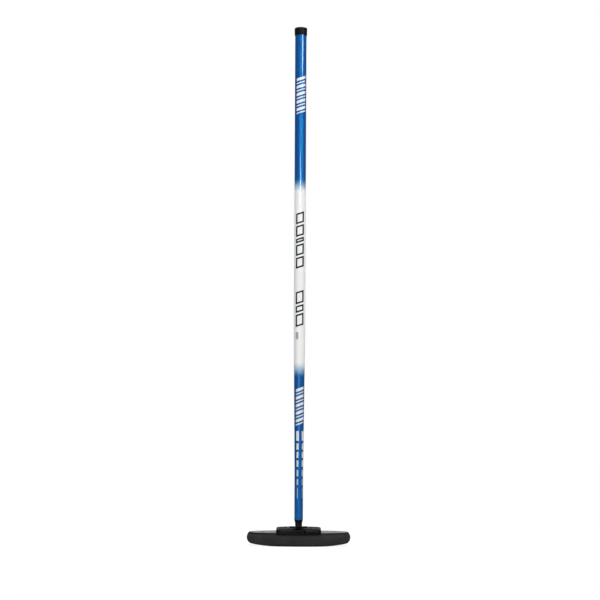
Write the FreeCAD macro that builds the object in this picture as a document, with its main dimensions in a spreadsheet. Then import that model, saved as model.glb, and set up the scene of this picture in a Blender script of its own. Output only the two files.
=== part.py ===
import FreeCAD, Part

import os
import re

import Sketcher
from FreeCAD import Rotation, Vector

# A curling broom: a long tapered tube with a rubber end cap, a moulded neck that tilts on a
# bolt, and a padded head. Millimetres, +Z up. X runs along the head, Y across it, and the
# front is -Y. The origin is on the floor, under the middle of the head.

# ---------------------------------------------------------------- driving dimensions

SIZES = {
    # handle
    "overall_height": (1153, "sole to the top of the end cap"),
    "tube_radius": (12.7, "one inch tube"),
    "tip_radius": (9.55, "three quarter inch tip of the tube"),
    "tube_wall": (1.8, "wall of the tube"),
    "tube_foot": (56.4, "height of the tube's lower end"),
    "taper_foot": (160, "height where the taper begins"),
    "taper_top": (470, "height where the taper ends"),
    "tube_head": (1150.2, "height of the tube's upper end"),
    "cap_radius": (14.2, "end cap at its crown"),
    "cap_rim_radius": (13.85, "end cap at its rim"),
    "cap_rim": (1135.5, "height of the cap's rim"),
    "cap_bore": (12.8, "inside radius of the cap"),
    "cap_round": (3.0, "rounding of the cap's crown"),
    "cap_lip_round": (0.4, "rounding of the cap's rim"),
    # neck and pivot
    "pivot_height": (36.2, "height of the tilt axis, which runs along X"),
    "spigot_radius": (7.65, "neck inside the tube"),
    "spigot_head": (98.5, "height of the spigot's top"),
    "spigot_bore": (5.0, "hollow in the spigot"),
    "spigot_floor": (62, "height of the hollow's floor"),
    "glue_groove_depth": (0.5, "grooves that hold the adhesive"),
    "glue_groove_width": (2.0, "width of a groove"),
    "glue_groove_first": (66, "height of the lowest groove"),
    "glue_groove_run": (24, "height from the lowest groove to the highest"),
    "collar_edge": (1.2, "straight edge of the collar under the tube"),
    "waist_radius": (7.7, "neck at its narrowest"),
    "waist_height": (45.5, "height of the waist's upper end"),
    "waist_curve": (25, "radius of the curve from the collar to the waist"),
    "column_foot": (41, "height where the round neck ends in the blade"),
    "blade_half_width": (6.8, "blade of the neck, front to back"),
    "blade_shoulder": (41, "height of the blade's shoulder"),
    "blade_head": (43, "height of the blade's top"),
    "blade_round": (2.2, "rounding of the blade's upright corners"),
    "barrel_radius": (4.8, "barrel round the pivot"),
    "barrel_half_length": (7.5, "half the barrel's length along X"),
    "bush_radius": (3.3, "outside of the barrel bush"),
    "bush_bore": (2.56, "inside of the barrel bush"),
    "same_body_gap": (0.02, "gap between two round pieces that do not move apart"),
    "thrust_radius": (4.7, "thrust washer"),
    "thrust_bore": (2.6, "hole in a thrust washer"),
    "thrust_thickness": (0.9, "thickness of a thrust washer"),
    "thrust_gap": (0.05, "gap each side of a thrust washer"),
    # saddle
    "saddle_half_length": (49.5, "saddle flange along X"),
    "lip_foot": (26, "height of the saddle's lower lip"),
    "lip_outer_inset": (-0.7, "lip's outside, measured in from the pad's outline"),
    "lip_inner_inset": (1.3, "lip's inside, measured in from the pad's outline"),
    "flange_corner": (7, "plan radius of the flange's corners"),
    "flange_top": (33.5, "height of the flange"),
    "flange_round": (1.2, "rounding of the flange's upper edge"),
    "wing_half_width": (33, "raised wings along Y, at their foot"),
    "wing_lean": (2.2, "how far the wings' long sides lean in by the level of the humps"),
    "lip_corner": (4.5, "rounding of the lip's lower corners, seen from the front"),
    "wing_end_height": (36.8, "height of the wings at their ends"),
    "wing_crown_radius": (860, "the wings' tops are an arc along the saddle"),
    "wing_corner": (8, "plan radius of the wings' corners"),
    "wing_round": (2.8, "rounding of the wings' upper edges"),
    "trough_half_width": (12, "slot that the handle tilts in"),
    "trough_straight": (24, "half the straight stretch of the slot, along Y"),
    "trough_flare": (23, "plan radius of the slot's flared mouths"),
    "trough_floor": (31, "height of the slot's floor"),
    "hump_radius": (5.5, "humps that hold the bolt"),
    "hump_shoulder": (0.8, "height above the pivot where a hump's round top begins"),
    "hump_foot_half_width": (6.3, "half width of a hump's foot"),
    "hump_inner": (8.5, "inner face of a hump"),
    "hump_outer": (19.2, "outer face of a hump"),
    "bolt_hole": (2.6, "hole for the bolt in the humps"),
    "recess_end": (31, "outer end of the recess for the bolt's head or nut"),
    "recess_half_width": (6, "half width of that recess"),
    "saddle_screw_along": (38, "saddle screws from the middle, along X"),
    "saddle_screw_across": (20, "saddle screws from the middle, along Y"),
    "screw_seat": (33, "height of the seat under a saddle screw's head"),
    "screw_clearance": (2.2, "clearance hole for a 4 mm screw"),
    "counterbore": (4.3, "counterbore for a saddle screw's head"),
    # pivot hardware
    "bolt_radius": (2.5, "5 mm bolt"),
    "bolt_length": (45, "bolt under its head"),
    "bolt_head_radius": (4.25, "low cap head"),
    "bolt_head_height": (2.8, "low cap head"),
    "bolt_socket": (1.73, "hexagon socket, centre to corner"),
    "bolt_socket_depth": (1.6, "hexagon socket"),
    "head_edge": (0.4, "edge break on screw heads and nuts"),
    "washer_radius": (5, "5 mm washer"),
    "washer_bore": (2.65, "hole of a 5 mm washer"),
    "washer_thickness": (1, "flat washer"),
    "spring_thickness": (0.5, "spring washer's sheet"),
    "spring_height": (0.7, "spring washer's height"),
    "nut_corner": (4.62, "nut, centre to corner, 8 mm across flats"),
    "nut_height": (5, "locking nut"),
    "nut_bore": (2.55, "thread of the nut, shown plain"),
    "ring_radius": (3.3, "nylon ring in the nut"),
    "ring_height": (1.4, "nylon ring in the nut"),
    # pad
    "pad_length": (230, "pad along X, nine inches"),
    "pad_width": (76, "pad along Y, three inches"),
    "pad_end_radius": (26, "plan radius of the pad's ends"),
    "sole_half_length": (45, "flat of the sole before it curves up"),
    "rocker_radius": (340, "curve of the sole towards the ends"),
    "toe_radius": (13, "curve from the sole to the end wall"),
    "sole_round": (6, "rounding of the sole's edges"),
    "cover_top": (28.6, "height of the cover's upper edge"),
    "cover_slope_run": (5.2, "how far the cover slopes in at its top"),
    "cover_slope_rise": (6.0, "height of that slope"),
    "cover_thickness": (1.0, "woven cover"),
    "foam_gap": (0.25, "gap between the foam and the cover"),
    "foam_top": (22.3, "height of the foam's top"),
    "core_inset": (4.8, "core board, measured in from the pad's outline"),
    "core_foot": (22.5, "height of the core board's underside"),
    "plate_inset": (6.6, "backing plate, measured in from the pad's outline"),
    "plate_foot": (26.5, "height of the backing plate's underside"),
    "plate_top": (29.5, "height of the backing plate's top"),
    "binding_foot": (28.65, "height of the edge binding's underside"),
    "binding_top": (29.4, "height of the edge binding's top"),
    "binding_gap": (0.1, "gap between the binding and the plate"),
    # fasteners of the pad
    "screw_radius": (2, "4 mm screw"),
    "pan_radius": (4, "pan head"),
    "pan_height": (2.6, "pan head"),
    "pan_round": (0.8, "rounding of a pan head"),
    "screw_tail": (22.8, "height of every 4 mm screw's lower end"),
    "cross_half_length": (2.2, "cross recess"),
    "cross_half_width": (0.4, "cross recess"),
    "cross_depth": (1.3, "cross recess"),
    "plate_screw_along": (77, "plate screws from the middle, along X"),
    "flat_head_radius": (4, "flat head"),
    "flat_head_height": (2, "flat head"),
    "countersink": (2, "countersink in the plate"),
    "flat_head_drop": (0.1, "how far a flat head lies below the plate"),
    "insert_radius": (3, "threaded insert"),
    "insert_bore": (2.05, "thread of an insert, shown plain"),
}

document = FreeCAD.newDocument("curling_broom")
sheet = document.addObject("Spreadsheet::Sheet", "Sizes")
for row, (alias, (size, note)) in enumerate(SIZES.items(), start=1):
    sheet.set(f"A{row}", alias)
    sheet.set(f"B{row}", str(size))
    sheet.set(f"C{row}", note)
    sheet.setAlias(f"B{row}", alias)
document.recompute()

SIZE_WORD = re.compile(r"\b(" + "|".join(SIZES) + r")\b")
CLEAR = 5  # how far a cutting sketch runs past the solid that it cuts

# The pad's outline is four arcs. A small arc of pad_end_radius at each end touches a long arc
# along each side, so the long arc's radius follows from the length, width and end radius.
END_CENTRE = "(pad_length / 2 - pad_end_radius)"
SIDE_RADIUS = (
    f"(({END_CENTRE}^2 + pad_width^2 / 4 - pad_end_radius^2) / (pad_width - 2 * pad_end_radius))"
)
SIDE_CENTRE = f"({SIDE_RADIUS} - pad_width / 2)"
# Seen from the front, a toe arc touches the rocker arc and the end wall.
TOE_X = "(pad_length / 2 - toe_radius)"
TOE_Z = (
    f"(rocker_radius - sqrt((rocker_radius - toe_radius)^2 - ({TOE_X} - sole_half_length)^2))"
)


# ---------------------------------------------------------------- drawing helpers


def bound(text):
    """The expression with each size's name pointing at its cell in the sheet."""
    return SIZE_WORD.sub(r"Sizes.\1", str(text))


def bind(thing, name, text):
    """Binds a property or a constraint to an expression in the sheet's sizes."""
    thing.setExpression(name, bound(text))


def worth(text):
    """What an expression comes to now, in millimetres."""
    return float(sheet.evalExpression(bound(text)))


def new_body(label):
    body = document.addObject("PartDesign::Body", label)
    body.Label = label
    return body


def origin_plane(body, role):
    return next(feature for feature in body.Origin.OriginFeatures if feature.Role == role)


def new_sketch(body, plane, offset="0"):
    """A sketch on one of the body's own origin planes, moved along that plane's normal."""
    sketch = body.newObject("Sketcher::SketchObject", f"{body.Label}_sketch")
    sketch.AttachmentSupport = [(origin_plane(body, f"{plane}_Plane"), "")]
    sketch.MapMode = "FlatFace"
    bind(sketch, "AttachmentOffset.Base.z", offset)
    return sketch


def pin_point(sketch, index, end, across, along):
    """Holds one end of a line or arc, or its centre, at two expressions."""
    for kind, text in (("DistanceX", across), ("DistanceY", along)):
        number = sketch.addConstraint(Sketcher.Constraint(kind, index, end, worth(text)))
        bind(sketch, f"Constraints[{number}]", text)


def add_circle(sketch, across, along, radius):
    centre = Vector(worth(across), worth(along), 0)
    index = sketch.addGeometry(Part.Circle(centre, Vector(0, 0, 1), worth(radius)))
    pin_point(sketch, index, 3, across, along)
    number = sketch.addConstraint(Sketcher.Constraint("Radius", index, worth(radius)))
    bind(sketch, f"Constraints[{number}]", radius)


def add_arc(sketch, start, end, radius, turns_left):
    """The shorter arc from start to end. Its centre is on the left if it turns left."""
    chord = end - start
    side = Vector(-chord.y, chord.x, 0).normalize() * (1 if turns_left else -1)
    reach = (radius**2 - chord.Length**2 / 4) ** 0.5
    circle = Part.Circle((start + end) / 2 + side * reach, Vector(0, 0, 1), radius)
    first, last = (start, end) if turns_left else (end, start)
    return sketch.addGeometry(
        Part.ArcOfCircle(circle, circle.parameter(first), circle.parameter(last))
    )


def add_outline(sketch, corners):
    """A closed outline. Each corner is (across, along), and a third entry, such as
    ("left", radius), bends the stretch that follows it into an arc."""
    ends = []
    for corner, following in zip(corners, corners[1:] + corners[:1]):
        start = Vector(worth(corner[0]), worth(corner[1]), 0)
        end = Vector(worth(following[0]), worth(following[1]), 0)
        if len(corner) == 2:
            index = sketch.addGeometry(Part.LineSegment(start, end))
            first, last = 1, 2
        else:
            turn, radius = corner[2]
            index = add_arc(sketch, start, end, worth(radius), turn == "left")
            first, last = (1, 2) if turn == "left" else (2, 1)
            number = sketch.addConstraint(Sketcher.Constraint("Radius", index, worth(radius)))
            bind(sketch, f"Constraints[{number}]", radius)
        pin_point(sketch, index, first, corner[0], corner[1])
        ends.append((index, first, last))
    for (index, _, last), (next_index, first, _) in zip(ends, ends[1:] + ends[:1]):
        sketch.addConstraint(Sketcher.Constraint("Coincident", index, last, next_index, first))


def add_box(sketch, low_across, high_across, low_along, high_along):
    add_outline(
        sketch,
        [
            (low_across, low_along),
            (high_across, low_along),
            (high_across, high_along),
            (low_across, high_along),
        ],
    )


def add_rounded_box(sketch, half_across, half_along, radius):
    """A rectangle about the middle with round corners."""
    short = f"({half_across} - {radius})"
    low = f"({half_along} - {radius})"
    bend = ("left", radius)
    add_outline(
        sketch,
        [
            (f"-{short}", f"-{half_along}"),
            (short, f"-{half_along}", bend),
            (half_across, f"-{low}"),
            (half_across, low, bend),
            (short, half_along),
            (f"-{short}", half_along, bend),
            (f"-{half_across}", low),
            (f"-{half_across}", f"-{low}", bend),
        ],
    )


def add_oval(sketch, inset):
    """The pad's outline, moved in by inset."""
    reach = f"({SIDE_RADIUS} - {inset})"
    span = f"({SIDE_RADIUS} - pad_end_radius)"
    touch_x = f"({reach} * {END_CENTRE} / {span})"
    touch_y = f"({reach} * {SIDE_CENTRE} / {span} - {SIDE_CENTRE})"
    end_radius = f"pad_end_radius - {inset}"
    add_outline(
        sketch,
        [
            (f"-{touch_x}", f"-{touch_y}", ("left", reach)),
            (touch_x, f"-{touch_y}", ("left", end_radius)),
            (touch_x, touch_y, ("left", reach)),
            (f"-{touch_x}", touch_y, ("left", end_radius)),
        ],
    )


def side_arc_y(inset, along):
    """Half the width of the pad's outline, moved in by inset, at a distance along X."""
    return f"(sqrt(({SIDE_RADIUS} - {inset})^2 - ({along})^2) - {SIDE_CENTRE})"


def extrude(body, kind, sketch, length, symmetric=False, backwards=False):
    """A Pad or a Pocket. A pad grows along the sketch's normal and a pocket cuts against it,
    unless backwards; a pocket that changes nothing is an error."""
    before = body.Shape.Volume if body.Tip else 0
    feature = body.newObject(f"PartDesign::{kind}", f"{body.Label}_{kind.lower()}")
    feature.Profile = sketch
    feature.SideType = "Symmetric" if symmetric else "One side"
    feature.Reversed = backwards
    bind(feature, "Length", length)
    document.recompute()
    grown = body.Shape.Volume - before
    if (grown < 0) != (kind == "Pocket"):
        raise ValueError(f"{feature.Name} changed the volume of {body.Label} by {grown:.2f}")
    return feature


def revolve(body, sketch, kind="Revolution"):
    """Turns a sketch on the XZ plane about the Z axis."""
    feature = body.newObject(f"PartDesign::{kind}", f"{body.Label}_{kind.lower()}")
    feature.Profile = sketch
    feature.ReferenceAxis = (sketch, ["V_Axis"])
    feature.Angle = 360
    document.recompute()
    return feature


def repeat(body, kind, originals, **settings):
    """A Mirrored or LinearPattern of some of the body's features."""
    feature = body.newObject(f"PartDesign::{kind}", f"{body.Label}_{kind.lower()}")
    feature.Originals = originals
    for name, value in settings.items():
        setattr(feature, name, value)
    body.Tip = feature
    document.recompute()
    return feature


def mirror_in_x(body, originals):
    plane = (origin_plane(body, "YZ_Plane"), [""])
    return repeat(body, "Mirrored", originals, MirrorPlane=plane)


def dress(body, kind, size, wanted, size_name=None):
    """A Fillet or Chamfer on the edges of the body that the test wants."""
    base = body.Tip
    names = [f"Edge{i}" for i, edge in enumerate(base.Shape.Edges, start=1) if wanted(edge)]
    feature = body.newObject(f"PartDesign::{kind}", f"{body.Label}_{kind.lower()}")
    feature.Base = (base, names)
    bind(feature, size_name or ("Radius" if kind == "Fillet" else "Size"), size)
    document.recompute()
    return feature


def at_height(edge, height):
    box = edge.BoundBox
    return abs(box.ZMin - worth(height)) < 0.01 and abs(box.ZMax - worth(height)) < 0.01


def is_upright(edge):
    box = edge.BoundBox
    return box.XLength < 0.01 and box.YLength < 0.01


def is_circle(edge, radius):
    curve = edge.Curve
    return isinstance(curve, Part.Circle) and abs(curve.Radius - worth(radius)) < 0.01


def place(thing, along_x="0", along_y="0", along_z="0", rotation=None):
    """Puts a piece that was drawn about its own axis where it belongs."""
    if rotation:
        thing.Placement.Rotation = rotation
    for name, text in (("x", along_x), ("y", along_y), ("z", along_z)):
        bind(thing, f"Placement.Base.{name}", text)


def mirrored(source, normal):
    copy = document.addObject("Part::Mirroring", f"{source.Label}_copy")
    copy.Source = source
    copy.Normal = normal
    return copy


def group(label, members):
    """Several separate solids as one named piece."""
    compound = document.addObject("Part::Compound", label)
    compound.Label = label
    compound.Links = members
    return compound


ALONG_X = Vector(1, 0, 0)
ALONG_Y = Vector(0, 1, 0)
Z_TO_PLUS_X = Rotation(Vector(0, 1, 0), 90)
Z_TO_MINUS_X = Rotation(Vector(0, 1, 0), -90)


# ---------------------------------------------------------------- handle


def make_handle_tube():
    """A straight one inch tube that tapers to three quarters of an inch at its foot."""
    body = new_body("handle_tube")
    sketch = new_sketch(body, "XZ")
    add_outline(
        sketch,
        [
            ("tip_radius - tube_wall", "tube_foot"),
            ("tip_radius", "tube_foot"),
            ("tip_radius", "taper_foot"),
            ("tube_radius", "taper_top"),
            ("tube_radius", "tube_head"),
            ("tube_radius - tube_wall", "tube_head"),
            ("tube_radius - tube_wall", "taper_top"),
            ("tip_radius - tube_wall", "taper_foot"),
        ],
    )
    revolve(body, sketch)
    return body


def make_end_cap():
    """A rubber cap that slips over the top of the tube."""
    body = new_body("end_cap")
    sketch = new_sketch(body, "XZ")
    add_outline(
        sketch,
        [
            ("0", "tube_head + same_body_gap"),
            ("cap_bore", "tube_head + same_body_gap"),
            ("cap_bore", "cap_rim"),
            ("cap_rim_radius", "cap_rim"),
            ("cap_radius", "overall_height - cap_round * 2"),
            ("cap_radius", "overall_height"),
            ("0", "overall_height"),
        ],
    )
    revolve(body, sketch)
    dress(body, "Fillet", "cap_round", lambda edge: at_height(edge, "overall_height"))
    dress(
        body,
        "Fillet",
        "cap_lip_round",
        lambda edge: at_height(edge, "cap_rim") and is_circle(edge, "cap_rim_radius"),
    )
    return body


def make_neck():
    """The moulding that is glued into the tube and turns on the pivot bolt."""
    body = new_body("neck")
    column = new_sketch(body, "XZ")
    add_outline(
        column,
        [
            ("0", "column_foot"),
            ("waist_radius", "column_foot"),
            ("waist_radius", "waist_height", ("right", "waist_curve")),
            ("tip_radius", "tube_foot - collar_edge"),
            ("tip_radius", "tube_foot"),
            ("spigot_radius", "tube_foot"),
            ("spigot_radius", "spigot_head"),
            ("spigot_bore", "spigot_head"),
            ("spigot_bore", "spigot_floor"),
            ("0", "spigot_floor"),
        ],
    )
    revolve(body, column)

    groove = new_sketch(body, "XZ")
    add_box(
        groove,
        "spigot_radius - glue_groove_depth",
        "spigot_radius + glue_groove_depth",
        "glue_groove_first",
        "glue_groove_first + glue_groove_width",
    )
    cut = revolve(body, groove, "Groove")
    upwards = (next(f for f in body.Origin.OriginFeatures if f.Role == "Z_Axis"), [""])
    pattern = repeat(body, "LinearPattern", [cut], Direction=upwards, Occurrences=4)
    bind(pattern, "Length", "glue_groove_run")

    blade = new_sketch(body, "YZ")
    add_outline(
        blade,
        [
            ("-barrel_radius", "pivot_height"),
            ("barrel_radius", "pivot_height"),
            ("blade_half_width", "blade_shoulder"),
            ("blade_half_width", "blade_head"),
            ("-blade_half_width", "blade_head"),
            ("-blade_half_width", "blade_shoulder"),
        ],
    )
    extrude(body, "Pad", blade, "2 * barrel_half_length", symmetric=True)
    dress(
        body,
        "Fillet",
        "blade_round",
        lambda edge: edge.BoundBox.XLength < 0.01
        and edge.BoundBox.ZMax > worth("blade_shoulder - 0.01")
        and edge.BoundBox.ZMax < worth("blade_head + 0.01")
        and edge.BoundBox.ZLength > 1,
    )

    barrel = new_sketch(body, "YZ")
    add_circle(barrel, "0", "pivot_height", "barrel_radius")
    extrude(body, "Pad", barrel, "2 * barrel_half_length", symmetric=True)
    bore = new_sketch(body, "YZ")
    add_circle(bore, "0", "pivot_height", "bush_radius")
    extrude(body, "Pocket", bore, "2 * barrel_half_length + 1", symmetric=True)
    return body


def make_barrel_bush():
    body = new_body("barrel_bush")
    sketch = new_sketch(body, "YZ")
    add_circle(sketch, "0", "pivot_height", "bush_radius - same_body_gap")
    add_circle(sketch, "0", "pivot_height", "bush_bore")
    extrude(body, "Pad", sketch, "2 * barrel_half_length", symmetric=True)
    return body


def make_thrust_washers():
    """One washer each side of the barrel, between it and the saddle's humps."""
    body = new_body("thrust_washer")
    sketch = new_sketch(body, "YZ", "barrel_half_length + thrust_gap")
    add_circle(sketch, "0", "pivot_height", "thrust_radius")
    add_circle(sketch, "0", "pivot_height", "thrust_bore")
    extrude(body, "Pad", sketch, "thrust_thickness")
    return group("thrust_washers", [body, mirrored(body, ALONG_X)])


# ---------------------------------------------------------------- saddle and pivot


def make_swivel_saddle():
    """The moulding that sits astride the pad and holds the pivot between two humps."""
    body = new_body("swivel_saddle")

    # flange with a lip along the front and the back of the pad
    flange = new_sketch(body, "XY", "lip_foot")
    corner_y = side_arc_y("lip_outer_inset", "saddle_half_length")
    outer_reach = f"{SIDE_RADIUS} - lip_outer_inset"
    add_outline(
        flange,
        [
            ("-saddle_half_length", f"-{corner_y}", ("left", outer_reach)),
            ("saddle_half_length", f"-{corner_y}"),
            ("saddle_half_length", corner_y, ("left", outer_reach)),
            ("-saddle_half_length", corner_y),
        ],
    )
    extrude(body, "Pad", flange, "flange_top - lip_foot")
    dress(body, "Fillet", "flange_corner", is_upright)

    room = new_sketch(body, "XY", "lip_foot")
    room_end = f"(saddle_half_length + {CLEAR})"
    room_y = side_arc_y("lip_inner_inset", room_end)
    inner_reach = f"{SIDE_RADIUS} - lip_inner_inset"
    add_outline(
        room,
        [
            (f"-{room_end}", f"-{room_y}", ("left", inner_reach)),
            (room_end, f"-{room_y}"),
            (room_end, room_y, ("left", inner_reach)),
            (f"-{room_end}", room_y),
        ],
    )
    extrude(body, "Pocket", room, "plate_top - lip_foot", backwards=True)
    dress(body, "Fillet", "flange_round", lambda edge: at_height(edge, "flange_top"))
    past_end = f"(saddle_half_length + {CLEAR})"
    lip_end = new_sketch(body, "XZ")
    add_outline(
        lip_end,
        [
            ("saddle_half_length - lip_corner", "lip_foot", ("left", "lip_corner")),
            ("saddle_half_length", "lip_foot + lip_corner"),
            (past_end, "lip_foot + lip_corner"),
            (past_end, f"lip_foot - {CLEAR}"),
            ("saddle_half_length - lip_corner", f"lip_foot - {CLEAR}"),
        ],
    )
    lip_cut = extrude(body, "Pocket", lip_end, "2 * pad_width", symmetric=True)
    mirror_in_x(body, [lip_cut])

    # raised wings with rounded corners, a slightly crowned top and long sides that lean in
    hump_top = "(pivot_height + hump_radius)"
    wings = new_sketch(body, "XY", "trough_floor")
    add_rounded_box(wings, "saddle_half_length", "wing_half_width", "wing_corner")
    extrude(body, "Pad", wings, f"{hump_top} - trough_floor")
    lean = new_sketch(body, "YZ")
    for side in ("-", ""):
        add_outline(
            lean,
            [
                (f"{side}wing_half_width", "flange_top"),
                (f"{side}(wing_half_width - wing_lean)", hump_top),
                (f"{side}(wing_half_width + {CLEAR})", hump_top),
                (f"{side}(wing_half_width + {CLEAR})", "flange_top"),
            ],
        )
    extrude(body, "Pocket", lean, f"2 * {past_end}", symmetric=True)
    crown = new_sketch(body, "XZ")
    crown_sky = f"({hump_top} + {CLEAR})"
    add_outline(
        crown,
        [
            (f"-{past_end}", "wing_end_height", ("right", "wing_crown_radius")),
            (past_end, "wing_end_height"),
            (past_end, crown_sky),
            (f"-{past_end}", crown_sky),
        ],
    )
    extrude(body, "Pocket", crown, "2 * pad_width", symmetric=True)
    dress(
        body,
        "Fillet",
        "wing_round",
        lambda edge: edge.BoundBox.ZMin > worth("flange_top + 2"),
    )

    # slot for the tilting handle, right across the saddle, with a flared mouth at each side
    trough = new_sketch(body, "XY", "trough_floor")
    mouth_y = f"(pad_width / 2 + {CLEAR})"
    mouth_depth = f"({mouth_y} - trough_straight)"
    mouth_x = f"(trough_half_width + trough_flare - sqrt(trough_flare^2 - {mouth_depth}^2))"
    flare = ("right", "trough_flare")
    add_outline(
        trough,
        [
            (mouth_x, f"-{mouth_y}", flare),
            ("trough_half_width", "-trough_straight"),
            ("trough_half_width", "trough_straight", flare),
            (mouth_x, mouth_y),
            (f"-{mouth_x}", mouth_y, flare),
            ("-trough_half_width", "trough_straight"),
            ("-trough_half_width", "-trough_straight", flare),
            (f"-{mouth_x}", f"-{mouth_y}"),
        ],
    )
    extrude(body, "Pocket", trough, f"{crown_sky} - trough_floor", backwards=True)

    # humps and the recesses beside them
    hump = new_sketch(body, "YZ", "hump_inner")
    shoulder_y = "sqrt(hump_radius^2 - hump_shoulder^2)"
    shoulder_z = "pivot_height + hump_shoulder"
    add_outline(
        hump,
        [
            ("-hump_foot_half_width", "trough_floor - 0.5"),
            ("hump_foot_half_width", "trough_floor - 0.5"),
            (shoulder_y, shoulder_z, ("left", "hump_radius")),
            (f"-{shoulder_y}", shoulder_z),
        ],
    )
    hump_pad = extrude(body, "Pad", hump, "hump_outer - hump_inner")
    mirror_in_x(body, [hump_pad])
    recess = new_sketch(body, "XY", "trough_floor")
    add_box(recess, "hump_outer", "recess_end", "-recess_half_width", "recess_half_width")
    recess_cut = extrude(body, "Pocket", recess, "wing_end_height", backwards=True)
    mirror_in_x(body, [recess_cut])
    bolt_hole = new_sketch(body, "YZ")
    add_circle(bolt_hole, "0", "pivot_height", "bolt_hole")
    extrude(body, "Pocket", bolt_hole, "2 * hump_outer + 2", symmetric=True)

    # four counterbored holes for the saddle screws
    for height, radius in (("screw_seat", "counterbore"), ("lip_foot", "screw_clearance")):
        holes = new_sketch(body, "XY", height)
        for along in ("-saddle_screw_along", "saddle_screw_along"):
            for across in ("-saddle_screw_across", "saddle_screw_across"):
                add_circle(holes, along, across, radius)
        extrude(body, "Pocket", holes, "wing_end_height", backwards=True)
    return body


def make_pivot_bolt():
    """A 5 mm cap screw along X, its head on the +X side."""
    body = new_body("pivot_bolt")
    sketch = new_sketch(body, "XZ")
    add_outline(
        sketch,
        [
            ("0", "-bolt_length"),
            ("bolt_radius - head_edge", "-bolt_length"),
            ("bolt_radius", "head_edge - bolt_length"),
            ("bolt_radius", "0"),
            ("bolt_head_radius", "0"),
            ("bolt_head_radius", "bolt_head_height - head_edge"),
            ("bolt_head_radius - head_edge", "bolt_head_height"),
            ("0", "bolt_head_height"),
        ],
    )
    revolve(body, sketch)
    socket = new_sketch(body, "XY", "bolt_head_height")
    add_hexagon(socket, "bolt_socket")
    extrude(body, "Pocket", socket, "bolt_socket_depth")
    place(body, "hump_outer + washer_thickness", "0", "pivot_height", Z_TO_PLUS_X)
    return body


def add_hexagon(sketch, corner):
    """A hexagon with two of its corners on the sketch's horizontal axis."""
    half = f"({corner}) / 2"
    rise = f"({corner}) * sqrt(3) / 2"
    add_outline(
        sketch,
        [
            (f"{corner}", "0"),
            (half, rise),
            (f"-{half}", rise),
            (f"-{corner}", "0"),
            (f"-{half}", f"-{rise}"),
            (half, f"-{rise}"),
        ],
    )


def make_bolt_washer():
    body = new_body("bolt_washer")
    sketch = new_sketch(body, "YZ", "hump_outer")
    add_circle(sketch, "0", "pivot_height", "washer_radius")
    add_circle(sketch, "0", "pivot_height", "washer_bore")
    extrude(body, "Pad", sketch, "washer_thickness")
    return body


def make_spring_washer():
    """A conical washer under the nut that presses the joint together."""
    body = new_body("spring_washer")
    sketch = new_sketch(body, "XZ")
    add_outline(
        sketch,
        [
            ("washer_bore", "spring_height - spring_thickness"),
            ("washer_radius", "0"),
            ("washer_radius", "spring_thickness"),
            ("washer_bore", "spring_height"),
        ],
    )
    revolve(body, sketch)
    place(body, "-hump_outer", "0", "pivot_height", Z_TO_MINUS_X)
    return body


def make_pivot_nut():
    """A hexagon nut with a seat for its nylon ring in the outer end."""
    body = new_body("pivot_nut")
    hexagon = new_sketch(body, "XY")
    add_hexagon(hexagon, "nut_corner")
    add_circle(hexagon, "0", "0", "nut_bore")
    extrude(body, "Pad", hexagon, "nut_height")
    seat = new_sketch(body, "XY", "nut_height")
    add_circle(seat, "0", "0", "ring_radius")
    extrude(body, "Pocket", seat, "ring_height")
    place(body, "-hump_outer - spring_height", "0", "pivot_height", Z_TO_MINUS_X)
    return body


def make_nut_ring():
    body = new_body("nut_ring")
    sketch = new_sketch(body, "XY", "nut_height - ring_height")
    add_circle(sketch, "0", "0", "ring_radius - same_body_gap")
    add_circle(sketch, "0", "0", "nut_bore")
    extrude(body, "Pad", sketch, "ring_height")
    place(body, "-hump_outer - spring_height", "0", "pivot_height", Z_TO_MINUS_X)
    return body


# ---------------------------------------------------------------- pad


def make_pad_form(label, inset, top, rounding, sloped):
    """The pad's outer shape moved in by inset: an oval with a sole that curves up at both
    ends, a rounding all round the sole and, if sloped, an upper edge that leans in."""
    body = new_body(label)
    plan = new_sketch(body, "XY", inset)
    add_oval(plan, inset)
    extrude(body, "Pad", plan, f"{top} - {inset}")
    if sloped:
        slope = dress(body, "Chamfer", "cover_slope_rise", lambda edge: at_height(edge, top))
        slope.ChamferType = "Two distances"
        bind(slope, "Size2", "cover_slope_run")
        document.recompute()

    reach = f"(rocker_radius - {inset})"
    span = "(rocker_radius - toe_radius)"
    touch_x = f"(sole_half_length + {reach} * ({TOE_X} - sole_half_length) / {span})"
    touch_z = f"(rocker_radius - {reach} * (rocker_radius - {TOE_Z}) / {span})"
    past_end = f"(pad_length / 2 + {CLEAR})"
    end = new_sketch(body, "XZ")
    add_outline(
        end,
        [
            ("sole_half_length", inset, ("left", reach)),
            (touch_x, touch_z, ("left", f"toe_radius - {inset}")),
            (f"pad_length / 2 - {inset}", TOE_Z),
            (past_end, TOE_Z),
            (past_end, f"-{CLEAR}"),
            ("sole_half_length", f"-{CLEAR}"),
        ],
    )
    cut = extrude(body, "Pocket", end, f"pad_width + 2 * {CLEAR}", symmetric=True)
    mirror_in_x(body, [cut])
    dress(
        body,
        "Fillet",
        rounding,
        lambda edge: at_height(edge, inset) and edge.BoundBox.XLength > CLEAR,
    )
    return body


def make_fabric_cover():
    """The woven skin, open at the top where the core board and the plate go in."""
    outside = make_pad_form("cover_outside", "0", "cover_top", "sole_round", sloped=True)
    inside = make_pad_form(
        "cover_inside",
        "cover_thickness",
        "(cover_top + same_body_gap)",
        "sole_round - cover_thickness",
        sloped=True,
    )
    cover = document.addObject("Part::Cut", "fabric_cover")
    cover.Label = "fabric_cover"
    cover.Base = outside
    cover.Tool = inside
    return cover


def make_foam_block():
    inset = "(cover_thickness + foam_gap)"
    return make_pad_form("foam_block", inset, "foam_top", "sole_round", sloped=False)


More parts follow.
